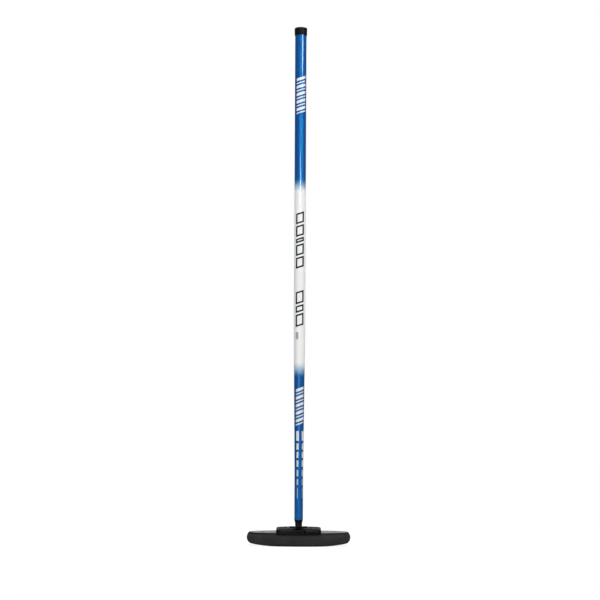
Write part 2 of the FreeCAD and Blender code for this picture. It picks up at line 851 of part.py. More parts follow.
def insert_places():
    """Where the threaded inserts and their screws are, as expressions."""
    for along in ("-saddle_screw_along", "saddle_screw_along"):
        for across in ("-saddle_screw_across", "saddle_screw_across"):
            yield along, across
    for along in ("-plate_screw_along", "plate_screw_along"):
        yield along, "0"


def make_oval_board(label, inset, foot, top, hole):
    """A flat oval board with a hole at each insert."""
    body = new_body(label)
    plan = new_sketch(body, "XY", foot)
    add_oval(plan, inset)
    for along, across in insert_places():
        add_circle(plan, along, across, hole)
    extrude(body, "Pad", plan, f"{top} - {foot}")
    return body


def make_core_board():
    return make_oval_board("core_board", "core_inset", "core_foot", "plate_foot", "insert_radius")


def make_backing_plate():
    body = make_oval_board(
        "backing_plate", "plate_inset", "plate_foot", "plate_top", "screw_clearance"
    )
    dress(
        body,
        "Chamfer",
        "countersink",
        lambda edge: is_circle(edge, "screw_clearance")
        and at_height(edge, "plate_top")
        and abs(edge.BoundBox.Center.x) > worth("saddle_half_length"),
    )
    return body


def make_edge_binding():
    """A tape round the plate that covers the cut edge of the fabric."""
    body = new_body("edge_binding")
    sketch = new_sketch(body, "XY", "binding_foot")
    add_oval(sketch, "cover_slope_run")
    add_oval(sketch, "(plate_inset - binding_gap)")
    extrude(body, "Pad", sketch, "binding_top - binding_foot")
    return body


def cut_cross(body, top):
    """A cross recess in the top of a screw's head."""
    for half_x, half_y in (
        ("cross_half_length", "cross_half_width"),
        ("cross_half_width", "cross_half_length"),
    ):
        slot = new_sketch(body, "XY", top)
        add_box(slot, f"-{half_x}", half_x, f"-{half_y}", half_y)
        extrude(body, "Pocket", slot, "cross_depth")


def make_saddle_screws():
    """Four pan head screws from the saddle down into the inserts."""
    body = new_body("saddle_screw")
    sketch = new_sketch(body, "XZ")
    add_outline(
        sketch,
        [
            ("0", "screw_tail - screw_seat"),
            ("screw_radius", "screw_tail - screw_seat"),
            ("screw_radius", "0"),
            ("pan_radius", "0"),
            ("pan_radius", "pan_height"),
            ("0", "pan_height"),
        ],
    )
    revolve(body, sketch)
    dress(body, "Fillet", "pan_round", lambda edge: at_height(edge, "pan_height"))
    cut_cross(body, "pan_height")
    place(body, "saddle_screw_along", "saddle_screw_across", "screw_seat")
    across = mirrored(body, ALONG_Y)
    pair = [body, across]
    return group("saddle_screws", pair + [mirrored(screw, ALONG_X) for screw in pair])


def make_plate_screws():
    """Two flat head screws that hold the plate to the core board."""
    body = new_body("plate_screw")
    sketch = new_sketch(body, "XZ")
    tail = "screw_tail - plate_top + flat_head_drop"
    add_outline(
        sketch,
        [
            ("0", tail),
            ("screw_radius", tail),
            ("screw_radius", "-flat_head_height"),
            ("flat_head_radius", "0"),
            ("0", "0"),
        ],
    )
    revolve(body, sketch)
    cut_cross(body, "0")
    place(body, "plate_screw_along", "0", "plate_top - flat_head_drop")
    return group("plate_screws", [body, mirrored(body, ALONG_X)])


def make_screw_inserts():
    """Six threaded inserts pressed into the core board."""
    body = new_body("screw_inserts")
    sketch = new_sketch(body, "XY", "core_foot")
    for along, across in insert_places():
        add_circle(sketch, along, across, "insert_radius - same_body_gap")
        add_circle(sketch, along, across, "insert_bore")
    extrude(body, "Pad", sketch, "plate_foot - core_foot")
    return body


# ---------------------------------------------------------------- build, check and write


def check_document():
    """Stops if anything in the document failed to build."""
    for item in document.Objects:
        if {"Invalid", "Error"} & set(item.State):
            raise ValueError(f"{item.Label} is {item.State}")


def write_pieces(pieces):
    os.makedirs("parts", exist_ok=True)
    for piece in pieces:
        if piece.Shape.isNull() or not piece.Shape.isValid() or not piece.Shape.Solids:
            raise ValueError(f"{piece.Label} has no valid solid")
        piece.Shape.exportStep(f"parts/{piece.Label}.step")
        box = piece.Shape.BoundBox
        print(
            f"{piece.Label}: {len(piece.Shape.Solids)} solids, {piece.Shape.Volume / 1000:.2f} cm3, "
            f"x {box.XMin:.2f} to {box.XMax:.2f}, y {box.YMin:.2f} to {box.YMax:.2f}, "
            f"z {box.ZMin:.2f} to {box.ZMax:.2f}"
        )


PIECES = [
    make_handle_tube(),
    make_end_cap(),
    make_neck(),
    make_barrel_bush(),
    make_thrust_washers(),
    make_swivel_saddle(),
    make_pivot_bolt(),
    make_bolt_washer(),
    make_spring_washer(),
    make_pivot_nut(),
    make_nut_ring(),
    make_saddle_screws(),
    make_plate_screws(),
    make_screw_inserts(),
    make_backing_plate(),
    make_edge_binding(),
    make_core_board(),
    make_foam_block(),
    make_fabric_cover(),
]
document.recompute()
check_document()
write_pieces(PIECES)
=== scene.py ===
from math import asin, cos, hypot, pi, radians, sin, sqrt

import bmesh
import bpy
from mathutils import Matrix, Vector, noise


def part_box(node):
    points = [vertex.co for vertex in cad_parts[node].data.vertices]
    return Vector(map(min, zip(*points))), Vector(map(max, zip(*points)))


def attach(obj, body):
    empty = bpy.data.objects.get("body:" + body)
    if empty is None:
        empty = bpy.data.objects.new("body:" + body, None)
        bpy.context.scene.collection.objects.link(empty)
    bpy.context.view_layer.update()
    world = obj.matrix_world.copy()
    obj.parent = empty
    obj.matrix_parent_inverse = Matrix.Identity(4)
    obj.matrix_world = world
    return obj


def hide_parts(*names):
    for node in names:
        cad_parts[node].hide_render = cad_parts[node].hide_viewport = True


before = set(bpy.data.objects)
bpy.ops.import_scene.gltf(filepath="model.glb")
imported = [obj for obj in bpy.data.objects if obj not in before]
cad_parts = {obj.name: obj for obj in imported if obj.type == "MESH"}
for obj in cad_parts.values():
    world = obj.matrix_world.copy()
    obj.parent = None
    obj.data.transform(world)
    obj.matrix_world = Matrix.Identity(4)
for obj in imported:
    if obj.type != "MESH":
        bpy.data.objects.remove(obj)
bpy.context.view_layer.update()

# A curling broom: a painted tube with a rubber cap, a moulded neck that tilts on a bolt, and a
# padded head under a woven cover. Metres, +Z up, X along the head, and the front is -Y.

MM = 0.001
ON_AXIS = 1e-7  # a radius smaller than this is on the axis

# ---------------------------------------------------------------- sizes

tube_low, tube_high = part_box("handle_tube")
cap_low, cap_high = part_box("end_cap")
pad_low, pad_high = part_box("fabric_cover")
tape_low, tape_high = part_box("edge_binding")
foam_low, foam_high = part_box("foam_block")
plate_low, plate_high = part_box("backing_plate")

TUBE_RADIUS = tube_high.x
TIP_RADIUS = 9.55 * MM
TUBE_WALL = 1.8 * MM
TAPER_FOOT, TAPER_TOP = 160 * MM, 470 * MM

HALF_LENGTH, HALF_WIDTH = pad_high.x, pad_high.y
END_RADIUS = 26 * MM
END_CENTRE = HALF_LENGTH - END_RADIUS
SOLE_HALF_LENGTH = 45 * MM
ROCKER_RADIUS = 340 * MM
TOE_RADIUS = 13 * MM
SOLE_ROUND = 6 * MM
COVER_TOP = pad_high.z
COVER_SLOPE_RUN = pad_high.x - tape_high.x
TAPE_INNER = pad_high.x - plate_high.x - 0.12 * MM
TAPE_LAP = 1.7 * MM
COVER_THICKNESS = 1.0 * MM
FOAM_INSET = 1.25 * MM

# The oval's long sides: each is an arc that touches the arcs of both ends.
SIDE_RADIUS = (END_CENTRE**2 + HALF_WIDTH**2 - END_RADIUS**2) / (2 * (HALF_WIDTH - END_RADIUS))
SIDE_CENTRE = SIDE_RADIUS - HALF_WIDTH
TURN = asin(SIDE_CENTRE / (SIDE_RADIUS - END_RADIUS))  # where an end's arc meets a side's

TOE_CENTRE = HALF_LENGTH - TOE_RADIUS
TOE_HEIGHT = ROCKER_RADIUS - sqrt(
    (ROCKER_RADIUS - TOE_RADIUS) ** 2 - (TOE_CENTRE - SOLE_HALF_LENGTH) ** 2
)
TOE_START = SOLE_HALF_LENGTH + (TOE_CENTRE - SOLE_HALF_LENGTH) * ROCKER_RADIUS / (
    ROCKER_RADIUS - TOE_RADIUS
)

# ---------------------------------------------------------------- making pieces


def make_piece(name, points, faces, body, material, weld=0.0):
    """A smooth mesh piece with its faces turned outwards, riding on a body."""
    mesh = bpy.data.meshes.new(name)
    mesh.from_pydata(points, [], faces)
    work = bmesh.new()
    work.from_mesh(mesh)
    if weld:
        bmesh.ops.remove_doubles(work, verts=work.verts, dist=weld)
    bmesh.ops.recalc_face_normals(work, faces=work.faces)
    work.to_mesh(mesh)
    work.free()
    mesh.shade_smooth()
    piece = bpy.data.objects.new(name, mesh)
    bpy.context.scene.collection.objects.link(piece)
    mesh.materials.append(material)
    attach(piece, body)
    return piece


def sharpen(piece, angle):
    """Keep the edges that turn by more than an angle crisp."""
    piece.data.set_sharp_from_angle(angle=radians(angle))


def arc(across, along, radius, start, end, steps):
    """Points on an arc in a lathe profile, from one angle to another, in degrees."""
    turns = (radians(start + (end - start) * k / steps) for k in range(steps + 1))
    return [(across + radius * cos(turn), along + radius * sin(turn)) for turn in turns]


def lathe(profile, sides):
    """Points and faces of a profile of (radius, height) turned about Z. A profile that begins
    and ends on the axis is a solid, and any other is a closed ring."""
    points, rows = [], []
    for radius, height in profile:
        if radius < ON_AXIS:
            rows.append([len(points)] * sides)
            points.append((0, 0, height))
            continue
        rows.append(range(len(points), len(points) + sides))
        for side in range(sides):
            turn = 2 * pi * side / sides
            points.append((radius * cos(turn), radius * sin(turn), height))
    if profile[0][0] > ON_AXIS:
        rows.append(rows[0])
    faces = []
    for low, high in zip(rows, rows[1:]):
        for side in range(sides):
            after = (side + 1) % sides
            ring = [low[side], low[after], high[after], high[side]]
            faces.append(list(dict.fromkeys(ring)))
    return points, faces


def tube_radius(height):
    """The tube's outside radius at a height."""
    share = min(1, max(0, (height - TAPER_FOOT) / (TAPER_TOP - TAPER_FOOT)))
    return TIP_RADIUS + (TUBE_RADIUS - TIP_RADIUS) * share


# ---------------------------------------------------------------- materials


class Paint:
    """A node material on one Principled shader."""

    def __init__(self, name, **sockets):
        self.material = bpy.data.materials.new(name)
        self.material.use_nodes = True
        self.tree = self.material.node_tree
        self.shader = self.tree.nodes["Principled BSDF"]
        self.set(self.shader, sockets)
        self.place = self.node("TexCoord").outputs["Object"]

    def set(self, node, sockets):
        for name, value in sockets.items():
            key = int(name[1:]) if name[0] == "_" else name.replace("_", " ")
            socket = node.inputs[key]
            if isinstance(value, bpy.types.NodeSocket):
                self.tree.links.new(value, socket)
            else:
                socket.default_value = value

    def node(self, kind, settings=None, **sockets):
        node = self.tree.nodes.new("ShaderNode" + kind)
        for name, value in (settings or {}).items():
            setattr(node, name, value)
        self.set(node, sockets)
        return node

    def math(self, operation, first, second=0.5, third=0.0, clamp=False):
        settings = {"operation": operation, "use_clamp": clamp}
        return self.node("Math", settings, _0=first, _1=second, _2=third).outputs[0]

    def spread(self, value, low, high, new_low=0.0, new_high=1.0):
        """Value taken smoothly from one range to another."""
        settings = {"interpolation_type": "SMOOTHSTEP"}
        sockets = {"_0": value, "_1": low, "_2": high, "_3": new_low, "_4": new_high}
        return self.node("MapRange", settings, **sockets).outputs[0]

    def noise(self, scale, detail=3.0, stretch=None, where=None, roughness=0.5):
        """Noise from about 0 to 1. The scale is per metre."""
        where = self.place if where is None else where
        if stretch:
            where = self.node("Mapping", None, Vector=where, Scale=stretch).outputs[0]
        sockets = {"Vector": where, "Scale": scale, "Detail": detail, "Roughness": roughness}
        return self.node("TexNoise", None, **sockets).outputs["Fac"]

    def blend(self, factor, first, second):
        """A colour between two, each a colour or a socket."""
        first, second = (c if hasattr(c, "node") else (*c, 1) for c in (first, second))
        settings = {"data_type": "RGBA"}
        sockets = {"_0": factor, "_6": first, "_7": second}
        return self.node("Mix", settings, **sockets).outputs[2]

    def bump(self, height, distance, strength=1.0):
        normal = self.node("Bump", None, Height=height, Distance=distance, Strength=strength)
        self.set(self.shader, {"Normal": normal.outputs[0]})
        return self.material


def moulded_plastic(name, low, high, roughness, grain, depth, **sockets):
    """Moulded plastic: a fine spark-eroded grain, cloudy colour and a little polish wear."""
    paint = Paint(name, **sockets)
    clouds = paint.noise(140, 4)
    fine = paint.noise(grain, 2)
    scuffs = paint.noise(420, 5, stretch=(1, 5, 2), roughness=0.65)
    paint.set(paint.shader, {"Base Color": paint.blend(clouds, low, high)})
    gloss = paint.spread(scuffs, 0.35, 0.75, roughness + 0.05, roughness - 0.06)
    paint.set(paint.shader, {"Roughness": gloss})
    height = paint.math("MULTIPLY_ADD", scuffs, 0.25, fine)
    return paint.bump(height, depth)


def nylon_painted_highlight():
    """The saddle's black nylon: a little glossy, with fine grain, and a painted highlight:
    the upper band of its raised wings, 33 to 37 mm up, is lighter and glossier, broken up by scuffs."""
    paint = Paint("nylon_painted_highlight", Specular_IOR_Level=0.12)
    height = paint.node("SeparateXYZ", None, _0=paint.place).outputs[2]
    scuffs = paint.noise(300, 6, stretch=(1, 4, 4), roughness=0.7)
    # Painted highlight: this mask lightens and polishes the wings' band from 33 to 37 mm up, in
    # patches of scuff noise.
    wear = paint.math(
        "MULTIPLY",
        paint.spread(height, 33 * MM, 37 * MM),
        paint.spread(scuffs, 0.4, 0.65),
    )
    clouds = paint.noise(140, 4)
    base = paint.blend(clouds, (0.0015, 0.0015, 0.0017), (0.004, 0.004, 0.0042))
    paint.set(paint.shader, {"Base Color": paint.blend(wear, base, (0.009, 0.009, 0.0095))})
    paint.set(paint.shader, {"Roughness": paint.spread(wear, 0.0, 1.0, 0.27, 0.38)})
    grain = paint.math("MULTIPLY_ADD", scuffs, 0.4, paint.noise(2600, 2))
    return paint.bump(grain, 0.02 * MM)


def turned_metal(name, low, high, roughness, metallic=1.0):
    """Metal with fine tool marks."""
    paint = Paint(name, Metallic=metallic)
    marks = paint.noise(900, 4, stretch=(8, 1, 1))
    stain = paint.noise(260, 3)
    paint.set(paint.shader, {"Base Color": paint.blend(stain, low, high)})
    paint.set(
        paint.shader,
        {"Roughness": paint.spread(marks, 0.2, 0.8, roughness - 0.07, roughness + 0.08)},
    )
    return paint.bump(marks, 0.01 * MM)


def woven(name, pitch, low, high, depth, twill=False, **sockets):
    """Cloth of round threads crossing over and under, laid out by the weave map in metres."""
    paint = Paint(name, **sockets)
    layout = paint.node("UVMap", {"uv_map": "weave"}).outputs[0]
    across, along, _ = paint.node("SeparateXYZ", None, _0=layout).outputs
    across = paint.math("DIVIDE", across, pitch)
    along = paint.math("DIVIDE", along, pitch)
    warp = paint.math("ABSOLUTE", paint.math("SINE", paint.math("MULTIPLY", across, pi)))
    weft = paint.math("ABSOLUTE", paint.math("SINE", paint.math("MULTIPLY", along, pi)))
    step = paint.math("ADD", paint.math("FLOOR", across), paint.math("FLOOR", along))
    if twill:
        upper = paint.math("LESS_THAN", paint.math("FLOORED_MODULO", step, 4), 2)
    else:
        upper = paint.math("FLOORED_MODULO", step, 2)
    over = paint.math("MULTIPLY", warp, paint.math("MULTIPLY_ADD", weft, 0.45, 0.55))
    under = paint.math("MULTIPLY", weft, paint.math("MULTIPLY_ADD", warp, 0.45, 0.55))
    other = paint.math("MULTIPLY", paint.math("SUBTRACT", 1, upper), under)
    height = paint.math("MULTIPLY_ADD", upper, over, other)
    strands = paint.noise(2600, 3, stretch=(1, 1, 4))
    patches = paint.noise(46, 5, roughness=0.6)
    # Painted shade: the colour follows thread height, darker in the gaps between threads and lighter
    # on their crowns, with random patches and strands.
    weave_shade_and_tone = paint.math("MULTIPLY_ADD", height, 0.55, paint.math("MULTIPLY", patches, 0.5))
    weave_shade_and_tone = paint.math("MULTIPLY_ADD", paint.math("SUBTRACT", strands, 0.5), 0.35, weave_shade_and_tone)
    paint.set(paint.shader, {"Base Color": paint.blend(paint.spread(weave_shade_and_tone, 0.1, 1.0), low, high)})
    height = paint.math("MULTIPLY_ADD", strands, 0.3, height)
    return paint.bump(height, depth)


BLUE_SHADE = (0.006, 0.041, 0.31)
BLUE_FLAKE = (0.010, 0.235, 0.53)
WHITE_PAINT = (0.84, 0.845, 0.83)
THIN_BLUE = (0.26, 0.43, 0.60)
UPPER_FADE = (778 * MM, 817 * MM)
LOWER_FADE = (367 * MM, 411 * MM)


def paint_tube():
    """Metallic blue paint that fades through an airbrushed edge to a white middle, all under
    clear lacquer."""
    paint = Paint(
        "tube_paint",
        Coat_Weight=0.5,
        Coat_Roughness=0.05,
        Specular_IOR_Level=0.0,
    )
    height = paint.node("SeparateXYZ", None, _0=paint.place).outputs[2]
    speckle = paint.noise(1500, 2)
    drift = paint.noise(60, 2)
    wander = paint.math("MULTIPLY_ADD", paint.math("SUBTRACT", drift, 0.5), 10 * MM, height)
    above = paint.spread(wander, *UPPER_FADE)
    below = paint.spread(wander, LOWER_FADE[0], LOWER_FADE[1], 1.0, 0.0)
    cover = paint.math("ADD", above, below)
    # The spray thins out into dots, so the edge of the fade is a matter of which dots land.
    dots = paint.math("MULTIPLY", paint.math("SUBTRACT", speckle, 0.5), 1.5)
    thin = paint.math("MULTIPLY", cover, paint.math("SUBTRACT", 1, cover))
    mist = paint.math("MULTIPLY", dots, paint.math("MULTIPLY", thin, 4))
    cover = paint.math("ADD", cover, mist, clamp=True)
    flake = paint.spread(paint.noise(7000, 1), 0.42, 0.56)
    blue = paint.blend(flake, BLUE_SHADE, BLUE_FLAKE)
    shade = paint.spread(paint.noise(25, 3), 0.3, 0.7, 0.96, 1.0)
    white = paint.blend(shade, (0.80, 0.805, 0.80), WHITE_PAINT)
    misted = paint.blend(paint.spread(cover, 0.0, 0.6), white, THIN_BLUE)
    base = paint.blend(paint.spread(cover, 0.5, 1.0), misted, blue)
    paint.set(paint.shader, {"Base Color": base})
    metal = paint.math("MULTIPLY", flake, paint.spread(cover, 0.4, 1.0, 0.0, 0.85))
    paint.set(paint.shader, {"Metallic": metal})
    wear = paint.noise(350, 5, stretch=(3, 3, 0.4), roughness=0.65)
    rough = paint.spread(wear, 0.3, 0.8, 0.40, 0.50)
    paint.set(paint.shader, {"Roughness": rough})
    peel = paint.noise(260, 2)
    return paint.bump(peel, 0.012 * MM)


def screen_ink(name, low, high, fading=False):
    """Printed ink, a little uneven, under the same lacquer as the tube. Fading ink thins out
    towards the foot of the tube."""
    paint = Paint(name, Coat_Weight=0.4, Coat_Roughness=0.1, Specular_IOR_Level=0.3)
    grain = paint.noise(900, 4)
    base = paint.blend(grain, low, high)
    if fading:
        height = paint.node("SeparateXYZ", None, _0=paint.place).outputs[2]
        thin = paint.math("MULTIPLY_ADD", paint.noise(2500, 2), 14 * MM, height)
        base = paint.blend(paint.spread(thin, 85 * MM, 215 * MM, 0.3, 1.0), (0.16, 0.34, 0.56), base)
    paint.set(paint.shader, {"Base Color": base})
    paint.set(paint.shader, {"Roughness": paint.spread(grain, 0.3, 0.7, 0.38, 0.5)})
    return paint.bump(grain, 0.006 * MM)


def cap_rubber():
    """Matt rubber with a fine moulded skin, a little dust and rubbed patches."""
    paint = Paint("cap_rubber", Specular_IOR_Level=0.2)
    skin = paint.noise(2400, 3)
    dust = paint.spread(paint.noise(900, 6, roughness=0.7), 0.56, 0.8)
    rubbed = paint.noise(70, 4)
    base = paint.blend(rubbed, (0.0025, 0.0025, 0.0027), (0.0055, 0.0055, 0.0058))
    dusty = paint.math("MULTIPLY", dust, 0.35)
    paint.set(paint.shader, {"Base Color": paint.blend(dusty, base, (0.05, 0.05, 0.048))})
    paint.set(paint.shader, {"Roughness": paint.spread(rubbed, 0.3, 0.7, 0.62, 0.48)})
    return paint.bump(skin, 0.03 * MM)


def cell_foam():
    """Closed-cell foam."""
    paint = Paint("foam", Roughness=0.9, Specular_IOR_Level=0.2)
    cells = paint.node("TexVoronoi", None, Vector=paint.place, Scale=1100).outputs["Distance"]
    tint = paint.noise(60, 3)
    base = paint.blend(tint, (0.50, 0.49, 0.44), (0.60, 0.585, 0.53))
    hollow = paint.spread(cells, 0.0, 0.5, 0.0, 0.5)
    paint.set(paint.shader, {"Base Color": paint.blend(hollow, base, (0.38, 0.365, 0.33))})
    return paint.bump(cells, 0.15 * MM)


TUBE_PAINT = paint_tube()
WHITE_INK = screen_ink("white_ink", (0.69, 0.715, 0.70), (0.78, 0.805, 0.79))
FADING_INK = screen_ink("fading_ink", (0.68, 0.71, 0.695), (0.77, 0.80, 0.785), fading=True)
BLACK_INK = screen_ink("black_ink", (0.003, 0.003, 0.004), (0.009, 0.009, 0.010))
RUBBER = cap_rubber()
BLACK_NYLON = moulded_plastic(
    "black_nylon",
    (0.0015, 0.0015, 0.0017),
    (0.004, 0.004, 0.0042),
    0.34,
    2600,
    0.02 * MM,
    Specular_IOR_Level=0.3,
)
NYLON_PAINTED_HIGHLIGHT = nylon_painted_highlight()
ACETAL = moulded_plastic(
    "white_acetal", (0.68, 0.68, 0.65), (0.76, 0.76, 0.73), 0.4, 1800, 0.01 * MM
)
PLATE_GREY = moulded_plastic(
    "plate_grey", (0.195, 0.182, 0.175), (0.235, 0.222, 0.215), 0.45, 2200, 0.03 * MM
)
CORE_PLASTIC = moulded_plastic(
    "core_plastic", (0.030, 0.030, 0.030), (0.040, 0.040, 0.040), 0.6, 1500, 0.04 * MM
)
STAINLESS = turned_metal("stainless", (0.50, 0.50, 0.51), (0.62, 0.62, 0.62), 0.3)
BLACK_STEEL = turned_metal("black_steel", (0.012, 0.012, 0.013), (0.03, 0.03, 0.031), 0.45, 0.7)
BRASS = turned_metal("brass", (0.47, 0.30, 0.075), (0.60, 0.40, 0.12), 0.32)
FOAM = cell_foam()
FABRIC = woven(
    "woven_fabric",
    0.62 * MM,
    (0.008, 0.008, 0.0082),
    (0.037, 0.0365, 0.036),
    0.12 * MM,
    Roughness=0.75,
    Specular_IOR_Level=0.2,
    Sheen_Weight=0.05,
    Sheen_Roughness=0.5,
)
TAPE = woven(
    "binding_tape",
    0.3 * MM,
    (0.003, 0.003, 0.0031),
    (0.011, 0.011, 0.0108),
    0.06 * MM,
    twill=True,
    Roughness=0.65,
    Specular_IOR_Level=0.25,
)
THREAD = turned_metal("thread", (0.02, 0.02, 0.02), (0.05, 0.05, 0.05), 0.6, 0.0)


def finish_node(name, material):
    """Give a CAD node its material."""
    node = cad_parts[name]
    if not node.material_slots:
        node.data.materials.append(material)
    for holder in node.material_slots:
        holder.material = material


for name, material in {
    "neck": BLACK_NYLON,
    "barrel_bush": ACETAL,
    "thrust_washers": BLACK_NYLON,
    "swivel_saddle": NYLON_PAINTED_HIGHLIGHT,
    "pivot_bolt": STAINLESS,
    "bolt_washer": STAINLESS,
    "spring_washer": STAINLESS,
    "pivot_nut": STAINLESS,
    "nut_ring": ACETAL,
    "saddle_screws": BLACK_STEEL,
    "plate_screws": BLACK_STEEL,
    "screw_inserts": BRASS,
    "backing_plate": PLATE_GREY,
    "core_board": CORE_PLASTIC,
}.items():
    finish_node(name, material)

# ---------------------------------------------------------------- handle


def make_tube():
    """The tapered tube, with a softened edge at both ends and its bore."""
    edge = 0.3 * MM
    low, high = tube_low.z, tube_high.z
    steps = 64
    heights = [low + edge + (high - low - 2 * edge) * k / steps for k in range(steps + 1)]
    heights = sorted(set(heights) | {TAPER_FOOT, TAPER_TOP})
    foot, head = tube_radius(low), tube_radius(high)
    profile = arc(foot - edge, low + edge, edge, -90, 0, 4)[:-1]
    profile += [(tube_radius(height), height) for height in heights]
    profile += arc(head - edge, high - edge, edge, 0, 90, 4)[1:]
    profile += arc(head - TUBE_WALL + edge, high - edge, edge, 90, 180, 4)[:-1]
    profile += [(tube_radius(height) - TUBE_WALL, height) for height in reversed(heights)]
    profile += arc(foot - TUBE_WALL + edge, low + edge, edge, 180, 270, 4)[1:]
    points, faces = lathe(profile, sides=144)
    tube = make_piece("painted_tube", points, faces, "handle", TUBE_PAINT)
    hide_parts("handle_tube")


def make_cap():
    """The cap's crown is softly rounded, with a shallow band above its lip."""
    crown, bore = cap_high.x, 12.8 * MM
    rim = 13.85 * MM
    low, high = cap_low.z, cap_high.z
    ceiling = tube_high.z + 0.02 * MM
    bend, lip = 3.0 * MM, 0.45 * MM
    groove = low + 2.6 * MM
    profile = [(0, high - 0.25 * MM), (3 * MM, high - 0.24 * MM), (6 * MM, high - 0.16 * MM)]
    profile += arc(crown - bend, high - bend, bend, 88, 0, 10)
    for share in (0.25, 0.5, 0.7):
        height = high - bend - (high - bend - groove) * share
        profile.append((crown + (rim - crown) * share, height))
    profile += [
        (rim + 0.03 * MM, groove + 0.5 * MM),
        (rim - 0.1 * MM, groove + 0.15 * MM),
        (rim - 0.16 * MM, groove),
        (rim - 0.1 * MM, groove - 0.15 * MM),
        (rim, groove - 0.4 * MM),
        (rim, low + lip + 0.4 * MM),
    ]
    profile += arc(rim - lip, low + lip, lip, 0, -90, 5)
    profile += arc(bore + lip / 2, low + lip / 2, lip / 2, -90, -180, 4)
    profile += [(bore, ceiling - 0.5 * MM), (bore - 0.5 * MM, ceiling), (0, ceiling)]
    points, faces = lathe(profile, sides=128)
    cap = make_piece("rubber_cap", points, faces, "handle", RUBBER)
    sharpen(cap, 50)
    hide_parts("end_cap")


make_tube()
make_cap()

# The printed marks are generic: slanted bars, outlined blocks, fine lines and dashes.

INK_PROUD, INK_DEPTH = 0.08 * MM, 0.05 * MM
PATCH_STEP = 0.9 * MM


def wrap_patches(name, patches, turn, material):
    """Thin printed shapes on the tube. A patch has four corners (across, height), across
    measured round the tube from the line that is turn degrees right of the front."""
    points, faces = [], []
    for corners in patches:
        sides = [hypot(b[0] - a[0], b[1] - a[1]) for a, b in zip(corners, corners[1:])]
        count_u = max(2, int(sides[0] / PATCH_STEP) + 1)
        count_v = max(2, int(sides[1] / PATCH_STEP) + 1)
        start = len(points)
        size = (count_u + 1) * (count_v + 1)
        for lift in (INK_PROUD, -INK_DEPTH):
            for v in range(count_v + 1):
                for u in range(count_u + 1):
                    s, t = u / count_u, v / count_v
                    across, height = (
                        (1 - t) * ((1 - s) * corners[0][k] + s * corners[1][k])
                        + t * ((1 - s) * corners[3][k] + s * corners[2][k])
                        for k in (0, 1)
                    )
                    radius = tube_radius(height)
                    angle = radians(turn) + across / radius
                    reach = radius + lift
                    points.append((reach * sin(angle), -reach * cos(angle), height))

        def index(u, v, side):
            return start + side * size + v * (count_u + 1) + u

        for v in range(count_v):
            for u in range(count_u):
                quad = [(u, v), (u + 1, v), (u + 1, v + 1), (u, v + 1)]
                faces.append([index(*corner, 0) for corner in quad])
                faces.append([index(*corner, 1) for corner in reversed(quad)])
        edge = [(u, 0) for u in range(count_u)]
        edge += [(count_u, v) for v in range(count_v)]
        edge += [(u, count_v) for u in range(count_u, 0, -1)]
        edge += [(0, v) for v in range(count_v, 0, -1)]
        for a, b in zip(edge, edge[1:] + edge[:1]):
            faces.append([index(*a, 0), index(*a, 1), index(*b, 1), index(*b, 0)])
    piece = make_piece(name, points, faces, "handle", material)
    sharpen(piece, 60)


def slanted_bars(low, high, half_span, slant, pairs):
    """A block of slanted bars, wide and narrow in turn."""
    wide, narrow = 6.2 * MM, 2.6 * MM
    pitch = (high - low - slant - wide) / (pairs - 0.5)
    bars = []
    for number in range(2 * pairs):
        size = narrow if number % 2 else wide
        foot = high - slant - number * pitch / 2 - wide / 2 - size / 2
        bars.append(
            [
                (-half_span, foot),
                (half_span, foot + slant),
                (half_span, foot + slant + size),
                (-half_span, foot + size),
            ]
        )
    return bars


def outlined_block(low, high, half_span, slant, stroke):
    """A slanted block drawn as an outline: its left, right, lower and upper strokes."""
    top, inner = high - slant, half_span - stroke

    def at(across, height):
        return across, height + slant * (across + half_span) / (2 * half_span)

    def stroke_between(left, right, lower, upper):
        return [at(left, lower), at(right, lower), at(right, upper), at(left, upper)]

    return [
        stroke_between(-half_span, -inner, low, top),
        stroke_between(inner, half_span, low, top),
        stroke_between(-inner, inner, low, low + stroke),
        stroke_between(-inner, inner, top - stroke, top),
    ]


def make_line_work():
    """Two runs of outlined blocks, long and short."""
    half_span, slant, stroke, gap = 9.6 * MM, 6.0 * MM, 3.8 * MM, 4.2 * MM
    patches = []
    for high, lengths in ((740.5 * MM, (30, 30, 16, 30, 30)), (565.5 * MM, (33, 21, 33))):
        for length in lengths:
            patches += outlined_block(high - length * MM, high, half_span, slant, stroke)
            high -= length * MM + gap - slant
    wrap_patches("middle_line_work", patches, 0, BLACK_INK)


def make_dashes():
    """Columns of dashes that grow thinner towards the foot, evenly spaced round the tube."""
    rows = (  # top, foot and width, in mm
        (252.3, 231.1, 6.1),
        (225.0, 211.4, 4.8),
        (206.3, 192.9, 4.4),
        (187.6, 173.2, 4.1),
        (166.5, 152.2, 3.6),
        (146.3, 133.2, 2.9),
        (127.4, 104.0, 1.5),
    )
    columns, first_turn = 5, -19
    for column in range(columns):
        turn = column * 360 / columns + first_turn
        patches = []
        for high, low, width in rows:
            half = width / 2 * MM
            high, low = high * MM, low * MM
            patches.append([(-half, low), (half, low), (half, high), (-half, high)])
        wrap_patches(f"dash_column_{column + 1}", patches, turn, FADING_INK)


def make_bars():
    """A block of bars near each end of the tube, turned a little to the right of the front."""
    slant, pairs = 7 * MM, 5
    upper = slanted_bars(955.3 * MM, 1043.8 * MM, 10.9 * MM, slant, pairs)
    lower = slanted_bars(262.4 * MM, 351.4 * MM, 9.4 * MM, slant, pairs)
    wrap_patches("upper_bars", upper, 6, WHITE_INK)
    wrap_patches("lower_bars", lower, 8, WHITE_INK)


def make_fine_lines():
    """Three fine lines under the outlined blocks."""
    low, high, half = 456 * MM, 471.5 * MM, 0.55 * MM
    patches = [
        [(x - half, low), (x + half, low), (x + half, high), (x - half, high)]
        for x in (-2.3 * MM, -0.1 * MM, 2.1 * MM)
    ]
    wrap_patches("fine_lines", patches, -26, BLACK_INK)


make_bars()
make_line_work()
make_dashes()
make_fine_lines()

# ---------------------------------------------------------------- pad


